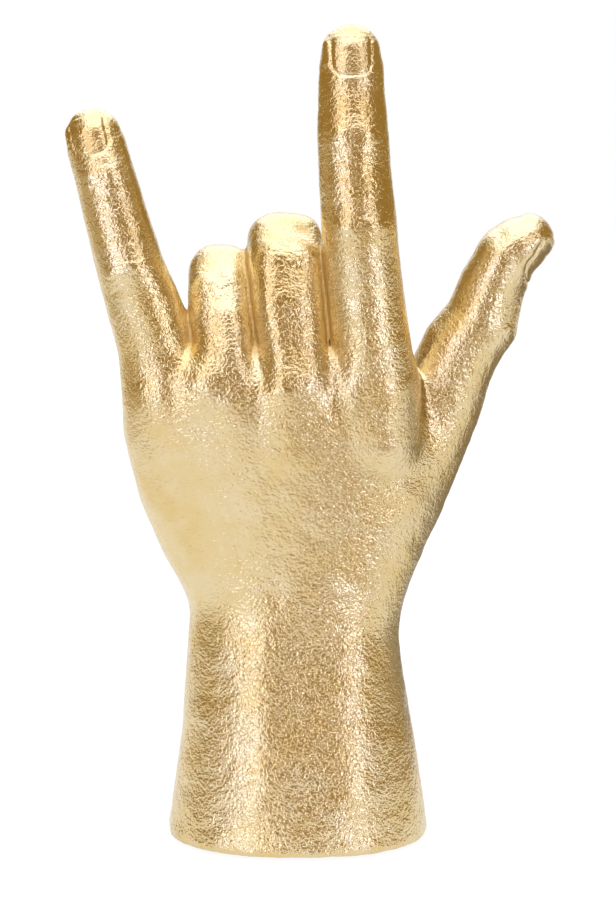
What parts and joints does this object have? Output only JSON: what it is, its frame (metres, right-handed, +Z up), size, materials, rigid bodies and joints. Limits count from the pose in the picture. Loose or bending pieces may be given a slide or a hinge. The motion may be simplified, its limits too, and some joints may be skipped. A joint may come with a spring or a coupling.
{
  "type": "hand sculpture",
  "caption": "Gilded ceramic left hand that stands on its cut wrist as a shelf ornament, with thumb, index and little finger stretched out and the fingers between them folded into the palm.",
  "frame": {"origin": "on the standing surface under the middle of the wrist's oval foot", "axes": "+Z up along the forearm, -Y the way the back of the hand faces, +X the side the thumb reaches to"},
  "size_m": [0.1434, 0.0616, 0.242],
  "materials": {
    "gilded_ceramic": "bright gold leaf over a finely stippled ceramic surface",
    "bare_ceramic": "unglazed biscuit",
    "felt": "matt wool felt"
  },
  "bodies": {
    "root": {"hand_shell": "gilded_ceramic", "thumb": "gilded_ceramic", "index_finger": "gilded_ceramic", "middle_finger": "gilded_ceramic", "ring_finger": "gilded_ceramic", "little_finger": "gilded_ceramic", "base_plate": "bare_ceramic", "felt_pad": "felt"}
  },
  "joints": []
}
